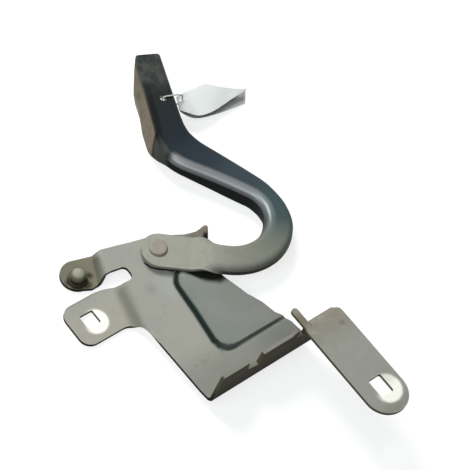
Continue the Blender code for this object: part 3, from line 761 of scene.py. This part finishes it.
def sweepTree():
    # sweeps a bent-sheet section along the line that carries its sizes
    tree = bpy.data.node_groups.new("sweptSheet", "GeometryNodeTree")
    names = {"Line": treeInput(tree, "Line", "Geometry")}
    names["Columns"] = treeInput(tree, "Columns", "Int", 41)
    for name in ("Inner bend", "Outer bend"):
        names[name] = treeInput(tree, name, "Float", 5.0)
    names["Paint"] = treeInput(tree, "Paint", "Material")
    tree.interface.new_socket("Sheet", in_out="OUTPUT", socket_type="NodeSocketGeometry")
    given = tree.nodes.new("NodeGroupInput")
    start = Wire(tree, None)

    def taken(name):
        return Wire(tree, given.outputs[name])

    def stored(name):
        return start.make("GeometryNodeInputNamedAttribute", {"data_type": "FLOAT"}, {"Name": name})

    columns = taken("Columns")
    row = start.make("GeometryNodeMeshLine", values={"Count": columns, "Offset": (0, 0, 0.01)})
    share = start.make("GeometryNodeInputIndex") / (columns - 1) * 2 - 1
    row = start.make("GeometryNodeStoreNamedAttribute", {"data_type": "FLOAT", "domain": "POINT"},
                     {"Geometry": row, "Name": "across", "Value": share})
    line = start.make("GeometryNodeMeshToCurve", values={"Mesh": taken("Line")})
    section = start.make("GeometryNodeMeshToCurve", values={"Mesh": row})
    sheet = start.make("GeometryNodeCurveToMesh", values={"Curve": line, "Profile Curve": section})
    across = stored("across")
    inside = across.above(0)
    web = stored("outWeb") + (stored("inWeb") - stored("outWeb")) * inside
    drop = stored("outDrop") + (stored("inDrop") - stored("outDrop")) * inside
    turn = stored("outTurn") + (stored("inTurn") - stored("outTurn")) * inside
    bend = taken("Outer bend") + (taken("Inner bend") - taken("Outer bend")) * inside
    run = abs(across) * (web + bend + drop)
    angle = ((run - web) / bend).atLeast(0).atMost(1) * turn
    radius = bend / turn
    rest = (run - web - bend).atLeast(0)
    reach = run.atMost(web) + radius * angle.sine() + rest * turn.cosine()
    height = stored("level") - radius * (1 - angle.cosine()) - rest * turn.sine()
    offset = reach * (inside * 2 - 1)
    offset = stored("middle") + (offset - stored("middle")) * stored("squeeze")
    spotX = stored("midX") + stored("sideX") * offset
    spotY = stored("midY") + stored("sideY") * offset
    target = start.make("ShaderNodeCombineXYZ", values={0: spotX, 1: spotY, 2: height})
    placed = start.make("GeometryNodeSetPosition", values={"Geometry": sheet, "Position": target})
    for name, value in (("run", run * (inside * 2 - 1)), ("past", run - web)):
        placed = start.make("GeometryNodeStoreNamedAttribute", {"data_type": "FLOAT", "domain": "POINT"},
                            {"Geometry": placed, "Name": name, "Value": value})
    whole = start.make("GeometryNodeRealizeInstances", values={"Geometry": placed})
    whole = start.make("GeometryNodeSetMaterial", values={"Geometry": whole, "Material": taken("Paint")})
    ending = tree.nodes.new("NodeGroupOutput")
    tree.links.new(whole.socket, ending.inputs["Sheet"])
    return tree, names


def endTrim(u, low):
    # how far the slanted and rounded end of the pad stands back
    if u > arm["slantStart"]:
        gap = u - arm["slantStart"]
        tip = arm["tipCurve"] * max(gap - arm["tipStart"], 0.0) ** 2
        return arm["slant"] * gap + arm["slantStep"] * ease(gap / arm["slantSoft"]) + tip
    if u < low + arm["endOuter"]:
        gap = min(low + arm["endOuter"] - u, arm["endOuter"])
        return arm["endOuter"] - sqrt(max(arm["endOuter"] ** 2 - gap ** 2, 0))
    return 0.0


def trimArm(mesh):
    along = [d.value for d in mesh.attributes["along"].data]
    run = [d.value for d in mesh.attributes["run"].data]
    reach = arm["slantReach"]
    for vertex, t, u in zip(mesh.vertices, along, run):
        if t > armEnd - reach:
            back = endTrim(u, -armRow(t)["outReach"]) * (t - armEnd + reach) / reach
            vertex.co -= armPoint(t)[0] - armPoint(t - back)[0]
        vertex.co = toRow(*vertex.co)


def drill(obj, places, low, high):
    # round holes through the sheet; each place is x, y and radius
    tools = []
    for x, y, radius in places:
        work = bmesh.new()
        bmesh.ops.create_cone(work, cap_ends=True, segments=shaping["holeSides"],
                              radius1=radius / 1000, radius2=radius / 1000, depth=(high - low) / 1000,
                              matrix=Matrix.Translation(toRow(x, y, (low + high) / 2)))
        mesh = bpy.data.meshes.new("drill")
        work.to_mesh(mesh)
        work.free()
        tool = bpy.data.objects.new("drill", mesh)
        bpy.context.scene.collection.objects.link(tool)
        hole = obj.modifiers.new("hole", "BOOLEAN")
        hole.operation = "DIFFERENCE"
        hole.solver = "EXACT"
        hole.object = tool
        tools.append(tool)
    settle(obj)
    for tool in tools:
        bpy.data.objects.remove(tool)


def armPaint():
    paint = Paint("armPaint", arm["tones"])
    place, tone = paint.place, paint.tone
    along = paint.value("along")
    run = paint.value("run")
    past = paint.value("past")
    inner = run.fade(-0.5, 0.5)
    cloud = place.noise(0.05, 3.0, 0.55)
    mottle = place.noise(0.2, 4.0, 0.6)
    grain = place.noise(1.6, 2.0, 0.6)
    scrape = place.noise(0.22, 4.0, 0.7, (0.9, 1.2, 1))
    # beige primer overspray turns into dark blue grey up the limb
    drift = along + (cloud - 0.5) * 12
    paint.shade = tone("eye")
    for first, last, colour in arm["drift"]:
        paint.lay(drift.fade(first, last), paint.colour(*colour))
    # pale scrapes where the sheet steps up
    scrape = scrape.fade(0.55, 0.68) * along.fade(26, 32) * along.fade(52, 40)
    paint.lay(scrape * 0.5, "scrape")
    # inner flange: painted shade darkens the dark paint to nearly black below the bend
    wall = past.fade(2.6, 4.6) * inner * along.fade(72, 100)
    paint.lay(wall * 0.95, "wall")
    # brown and scuffed on the hood pad; before it, painted shading draws a lighter facet and a dark crease
    edge = along - 210.5 + past * 0.35
    beyond = (past + mottle * 2).fade(2.8, 5.8) * inner
    facet = edge.fade(-15, -12) * edge.fade(0, -3) * past.fade(0.5, 2) * inner
    paint.lay(facet * 0.6, "facet")
    pad = edge.fade(-1.5, 1.5) * beyond
    dusty = tone("pad").blend(cloud.fade(0.4, 0.6) * along.fade(226, 250), tone("padEnd"))
    dusty = dusty.blend(mottle.fade(0.5, 0.66) * 0.4, tone("padMottle"))
    dusty = dusty.blend(past.fade(14, 20) * along.fade(236, 246), tone("padEdge"))
    paint.lay(pad * 0.95, dusty)
    # painted shade in the crease before the pad
    crease = abs(edge + 1.0).fade(2.6, 0.6) * past.fade(0.5, 2.5) * inner
    paint.lay(crease * 0.75, "crease")
    # painted shade along the web's rounded edge at the neck
    neckShade = past.fade(-2.0, 0.5) * past.fade(5.2, 3.0) * inner * along.fade(198, 208)
    paint.lay(neckShade * (0.75 - along.fade(230, 248) * 0.5), "neckShade")
    paint.lay(mottle.fade(0.45, 0.7) * along.fade(120, 60) * 0.2, "mottle")
    # rubbed patch on the pad's back, and painted shade on the outer rim of the lower limb
    rubbed = place.noise(0.12, 4.0, 0.7).fade(0.42, 0.62) * along.fade(236, 256)
    paint.lay(rubbed * (1 - beyond) * 0.4, "rubbed")
    rim = past.fade(4.4, 6.2) * (1 - inner) * along.fade(38, 46)
    paint.lay(rim * 0.85, "rim")
    # painted shade on the faces that look down, apart from the pad
    under = paint.facing.part(2).fade(0.2, -0.4) * (1 - pad)
    paint.lay(under * 0.6, "under")
    # the rounded inner edge is polished by handling
    glossy = past.fade(-3.5, -0.5) * past.fade(6.0, 4.2) * inner * along.fade(80, 132) * along.fade(196, 191)
    rough = 0.5 - along.fade(70, 118) * 0.1 + pad * 0.25 + neckShade * 0.3 + mottle * 0.05
    return paint.finish(paint.shade, rough, 0.0, grain + mottle, 0.15, 0.0001, glossy,
                        Specular_IOR_Level=0.08, Coat_IOR=2.05, Coat_Roughness=0.4)


def makeArm():
    line = addPiece("hoodArm", armLine(), armPaint())
    tree, names = sweepTree()
    sweep = line.modifiers.new("sweep", "NODES")
    sweep.node_group = tree
    sweep[names["Columns"]] = arm["columns"]
    sweep[names["Inner bend"]] = arm["inBend"]
    sweep[names["Outer bend"]] = arm["outBend"]
    sweep[names["Paint"]] = line.data.materials[0]
    settle(line)
    trimArm(line.data)
    solid = line.modifiers.new("sheet", "SOLIDIFY")
    solid.thickness = arm["sheet"] / 1000
    solid.offset = 0
    solid.use_even_offset = True
    settle(line)
    work = bmesh.new()
    work.from_mesh(line.data)
    bmesh.ops.remove_doubles(work, verts=work.verts, dist=shaping["sweepMerge"])
    bmesh.ops.recalc_face_normals(work, faces=work.faces)
    work.to_mesh(line.data)
    work.free()
    drill(line, [(0, 0, arm["bore"]), arm["tieHole"]], low=-2, high=20)
    softEdges(smoothFaces(line), arm["edge"], angle=55)
    fit(line, "arm", "hood_arm")


makeArm()


# turned pieces: rivet head and ball stud

turnedSizes = {
    # radii, and heights from the plate
    "headRadius": 6.4,
    "headTop": 8.1,
    "headFoot": 6.3,
    "shank": 3.5,
    "tailTop": -4.1,
    "tailFoot": -6.1,
    "tailRadius": 5.6,
    "ball": (-55.2, 13.4),
    "ballRadius": 5.1,
    "ballHeight": -1.6,
    "neck": 4.3,
    "collarRadius": 7.0,
    "collarTop": -4.5,
    "collarFoot": -5.7,
    "studShank": 3.0,
    "studFoot": -8.8,
}


def turnPiece(name, centre, profile, material):
    # an outline of radii and heights, turned round an upright line
    work = bmesh.new()
    points = [work.verts.new(toRow(centre[0] + r, centre[1], z)) for r, z in profile]
    edges = [work.edges.new(pair) for pair in zip(points[:-1], points[1:])]
    bmesh.ops.spin(work, geom=points + edges, cent=toRow(centre[0], centre[1], 0), axis=(0, 0, 1),
                   angle=2 * pi, steps=shaping["turnSides"], use_merge=True)
    bmesh.ops.remove_doubles(work, verts=work.verts, dist=shaping["turnMerge"])
    bmesh.ops.recalc_face_normals(work, faces=work.faces)
    mesh = bpy.data.meshes.new(name)
    work.to_mesh(mesh)
    work.free()
    return smoothFaces(addPiece(name, mesh, material), 35)


def roundOff(cx, cz, radius, start, end, steps):
    # points of an arc between two angles
    turns = [radians(start + (end - start) * i / steps) for i in range(steps + 1)]
    return [(cx + radius * cos(turn), cz + radius * sin(turn)) for turn in turns]


def rivetPaint():
    paint = Paint("rivetSteel")
    place = paint.place
    mottle = place.noise(0.3, 4.0, 0.6)
    grain = place.noise(2.2, 2.0, 0.6)
    away = (place * (1, 1, 0)).size()
    shade = paint.colour(154, 147, 135).blend(mottle.fade(0.4, 0.7) * 0.4, paint.colour(144, 141, 129))
    # painted shade round the rounded rim of the head
    shade = shade.blend(away.fade(5.8, 6.6) * 0.4, paint.colour(110, 106, 92))
    return paint.finish(shade, 0.55 + mottle * 0.1, 0.0, grain + mottle * 2, 0.25, 0.00012,
                        Specular_IOR_Level=0.15)


def studPaint():
    paint = Paint("studZinc")
    place = paint.place
    mottle = place.noise(0.35, 4.0, 0.6)
    grain = place.noise(2.0, 2.0, 0.6)
    z = place.part(2)
    # painted highlight on the top of the ball, painted shade below it
    shade = paint.colour(158, 156, 138).blend(z.fade(2.6, 0.2), paint.colour(112, 109, 90))
    shade = shade.blend((z + mottle * 2).fade(0.5, -2.5), paint.colour(92, 90, 72))
    # painted shadow and old grease under the ball on one side
    low = (place - (*turnedSizes["ball"], 0)).dot((-0.42, -0.72, 0)) + mottle * 2 - 1
    shade = shade.blend(low.fade(-2, 2) * z.fade(-1.5, -4) * 0.9, paint.colour(32, 30, 20))
    return paint.finish(shade, 0.6 + mottle * 0.15, 0.0, grain + mottle, 0.3, 0.00012,
                        Specular_IOR_Level=0.15)


def makeTurned():
    s = turnedSizes
    rivet = [(0.0, s["headTop"] - 0.25), (3.2, s["headTop"] - 0.15), (4.2, s["headTop"])]
    rivet += roundOff(s["headRadius"] - 1.5, s["headTop"] - 1.5, 1.5, 80, 0, 6)
    rivet += [(s["headRadius"], s["headFoot"]), (s["shank"], s["headFoot"]), (s["shank"], s["tailTop"]),
              (s["tailRadius"], s["tailTop"]), (s["tailRadius"], s["tailFoot"] + 0.8),
              (s["tailRadius"] - 0.8, s["tailFoot"]), (0.0, s["tailFoot"])]
    piece = turnPiece("pivotRivet", (0, 0), rivet, rivetPaint())
    fit(piece, "base", "pivot_rivet")
    low = -acos(s["neck"] / s["ballRadius"]) * 180 / pi
    stud = roundOff(0.0, s["ballHeight"], s["ballRadius"], 90, low, 20)
    stud[0] = (0.0, stud[0][1])
    stud += [(s["neck"], s["collarTop"]), (s["collarRadius"] - 0.6, s["collarTop"])]
    stud += roundOff(s["collarRadius"] - 0.6, s["collarTop"] - 0.6, 0.6, 80, 0, 4)
    stud += [(s["collarRadius"], s["collarFoot"]), (s["studShank"], s["collarFoot"]),
             (s["studShank"], s["studFoot"]), (s["studShank"] + 1.6, s["studFoot"]),
             (s["studShank"] + 1.2, s["studFoot"] - 0.7), (0.0, s["studFoot"] - 0.7)]
    piece = turnPiece("ballStud", s["ball"], stud, studPaint())
    fit(piece, "base", "ball_stud")


makeTurned()


# blank paper tag, folded at the tie

tag = {
    # both edges of the sheet, from the end of its upper leaf round the fold to the end of the lower one
    "rows": [
        ((148.4, 80.7, -2.0), (143.6, 79.7, -3.0)), ((138.5, 84.3, 0.0), (135.1, 79.3, -2.0)),
        ((125.6, 90.1, 4.0), (122.7, 77.7, -2.0)), ((117.2, 95.3, 6.0), (109.7, 75.8, 0.0)),
        ((105.9, 95.6, 7.0), (97.7, 76.8, 2.0)), ((96.8, 95.8, 7.2), (90.6, 80.8, 5.0)),
        ((91.6, 96.4, 5.0), (86.8, 86.2, 4.0)), ((96.8, 95.2, 2.4), (91.2, 81.0, 0.8)),
        ((107.5, 89.4, 0.6), (99.4, 76.6, -1.6)), ((126.7, 83.8, -4.2), (118.9, 75.0, -5.6)),
        ((149.8, 82.8, -7.2), (142.2, 74.1, -8.2))],
    "thickness": 0.4,
    "across": 14,
    "between": 5,
    "eye": (93.2, 92.6, 0.9),
}


def smoothPoint(points, share):
    # a point on the smooth line through a list of points
    where = min(share * (len(points) - 1), len(points) - 1.0001)
    i = int(where)
    t = where - i
    a, b, c, d = (Vector(points[min(max(i + k, 0), len(points) - 1)]) for k in (-1, 0, 1, 2))
    bent = (2 * a - 5 * b + 4 * c - d) * t * t + (3 * b - a - 3 * c + d) * t ** 3
    return 0.5 * (2 * b + (c - a) * t + bent)


def tagPaint():
    paint = Paint("tagPaper")
    place = paint.place
    fibre = place.noise(1.4, 4.0, 0.65, (1, 1, 3))
    cloud = place.noise(0.12, 3.0, 0.5)
    shade = paint.colour(246, 250, 248).blend(cloud.fade(0.35, 0.7) * 0.4, paint.colour(236, 243, 241))
    lower = paint.value("leaf").fade(0.4, 0.6)
    shade = shade.blend(lower * 0.8, paint.colour(150, 152, 150))
    # painted shade on the faces that look down
    under = paint.facing.part(2).fade(-0.05, -0.3)
    shade = shade.blend(under * 0.9, paint.colour(38, 46, 42))
    return paint.finish(shade, 0.85, 0.0, fibre, 0.3, 0.0001, Specular_IOR_Level=0.2)


def makeTag():
    points = []
    leaf = []
    steps = (len(tag["rows"]) - 1) * tag["between"]
    for i in range(steps + 1):
        share = i / steps
        first = smoothPoint([row[0] for row in tag["rows"]], share)
        last = smoothPoint([row[1] for row in tag["rows"]], share)
        for j in range(tag["across"] + 1):
            points.append(toRow(*first.lerp(last, j / tag["across"])))
            leaf.append(share)
    width = tag["across"] + 1
    faces = [(i * width + j, i * width + j + 1, (i + 1) * width + j + 1, (i + 1) * width + j)
             for i in range(steps) for j in range(tag["across"])]
    mesh = bpy.data.meshes.new("paperTag")
    mesh.from_pydata(points, [], faces)
    mesh.attributes.new("leaf", "FLOAT", "POINT").data.foreach_set("value", leaf)
    piece = addPiece("paperTag", mesh, tagPaint())
    solid = piece.modifiers.new("paper", "SOLIDIFY")
    solid.thickness = tag["thickness"] / 1000
    solid.offset = 0
    settle(piece)
    smoothFaces(piece, 60)
    drill(piece, [tag["eye"]], low=-4, high=12)
    fit(piece, "arm", "paper_tag")


makeTag()


# tie of the tag: two plies twisted round one line

tie = {
    "path": [(78.0, 97.0, 9.6), (78.1, 96.9, 11.9), (79.2, 96.8, 12.7), (83.6, 95.8, 12.4),
             (88.6, 94.3, 12.1), (92.2, 93.0, 11.0), (93.2, 92.6, 8.2), (93.2, 92.6, 5.0),
             (92.6, 92.8, 2.0), (89.8, 94.0, 0.4), (84.0, 95.3, 0.8), (79.6, 96.4, 3.0), (78.1, 96.9, 6.4)],
    "points": 90,
    "samples": 260,
    "plies": 2,
    "plySides": 8,
    "plyRadius": 0.4,
    "plyOffset": 0.22,
    "turns": 22.0,
}


def tieTree():
    # twists several round plies about the line
    tree = bpy.data.node_groups.new("twistedTie", "GeometryNodeTree")
    names = {"Path": treeInput(tree, "Path", "Geometry")}
    for name, value in (("Ply radius", 0.3), ("Ply offset", 0.3), ("Turns", 20.0)):
        names[name] = treeInput(tree, name, "Float", value)
    for name, value in (("Plies", 2), ("Samples", 100), ("Ply sides", 6)):
        names[name] = treeInput(tree, name, "Int", value)
    names["Finish"] = treeInput(tree, "Finish", "Material")
    tree.interface.new_socket("Tie", in_out="OUTPUT", socket_type="NodeSocketGeometry")
    given = tree.nodes.new("NodeGroupInput")
    start = Wire(tree, None)

    def taken(name):
        return Wire(tree, given.outputs[name])

    line = start.make("GeometryNodeMeshToCurve", values={"Mesh": taken("Path")})
    line = start.make("GeometryNodeResampleCurve", values={"Curve": line, "Count": taken("Samples")})
    copies = start.make("GeometryNodeDuplicateElements", {"domain": "SPLINE"},
                        {"Geometry": line, "Amount": taken("Plies")})
    copyNumber = Wire(tree, copies.socket.node.outputs["Duplicate Index"])
    share = start.make("GeometryNodeSplineParameter", out="Factor")
    angle = (share * taken("Turns") + copyNumber / taken("Plies")) * (2 * pi)
    tangent = start.make("GeometryNodeInputTangent")
    flat = start.sum("NORMALIZE", start.sum("CROSS_PRODUCT", tangent, (0.02, 0.01, 1.0)))
    other = tangent.sum("CROSS_PRODUCT", tangent, flat)
    away = (flat * angle.cosine() + other * angle.sine()) * taken("Ply offset")
    placed = start.make("GeometryNodeSetPosition", values={"Geometry": copies, "Offset": away})
    ring = start.make("GeometryNodeCurvePrimitiveCircle", values={
        "Resolution": taken("Ply sides"), "Radius": taken("Ply radius")})
    made = start.make("GeometryNodeCurveToMesh", values={"Curve": placed, "Profile Curve": ring})
    made = start.make("GeometryNodeRealizeInstances", values={"Geometry": made})
    made = start.make("GeometryNodeSetMaterial", values={"Geometry": made, "Material": taken("Finish")})
    ending = tree.nodes.new("NodeGroupOutput")
    tree.links.new(made.socket, ending.inputs["Tie"])
    return tree, names


def tiePaint():
    paint = Paint("tieCotton")
    place = paint.place
    fibre = place.noise(2.5, 3.0, 0.6)
    shade = paint.colour(208, 209, 202).blend(fibre.fade(0.4, 0.7) * 0.5, paint.colour(170, 171, 163))
    return paint.finish(shade, 0.75, 0.0, fibre, 0.4, 0.0001, Specular_IOR_Level=0.3)


def makeTie():
    count = tie["points"]
    closed = tie["path"] + [tie["path"][0]]
    points = [toRow(*smoothPoint(closed, i / count)) for i in range(count)]
    mesh = bpy.data.meshes.new("tagTie")
    mesh.from_pydata(points, [(i, (i + 1) % count) for i in range(count)], [])
    piece = addPiece("tagTie", mesh, tiePaint())
    tree, names = tieTree()
    twist = piece.modifiers.new("twist", "NODES")
    twist.node_group = tree
    twist[names["Ply radius"]] = tie["plyRadius"] / 1000
    twist[names["Ply offset"]] = tie["plyOffset"] / 1000
    twist[names["Turns"]] = tie["turns"]
    twist[names["Plies"]] = tie["plies"]
    twist[names["Samples"]] = tie["samples"]
    twist[names["Ply sides"]] = tie["plySides"]
    twist[names["Finish"]] = piece.data.materials[0]
    settle(piece)
    smoothFaces(piece, 80)
    fit(piece, "arm", "tag_tie")


makeTie()


# bush and washer, hidden between the sheets

def plainMetal(name, red, green, blue, metallic):
    paint = Paint(name)
    wear = paint.place.noise(0.5, 4.0, 0.6)
    shade = paint.colour(red, green, blue)
    shade = shade.blend(wear.fade(0.4, 0.75) * 0.5, paint.colour(red * 0.75, green * 0.72, blue * 0.68))
    return paint.finish(shade, 0.35 + wear * 0.25, metallic, wear, 0.2, 0.0001)


def makeHidden():
    for node, material in (("pivot_bush", plainMetal("bushBronze", 150, 128, 92, 0.8)),
                           ("pivot_washer", plainMetal("washerZinc", 168, 168, 160, 0.8))):
        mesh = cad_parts[node].data
        mesh.materials.clear()
        mesh.materials.append(material)
        print("finished", node)


makeHidden()
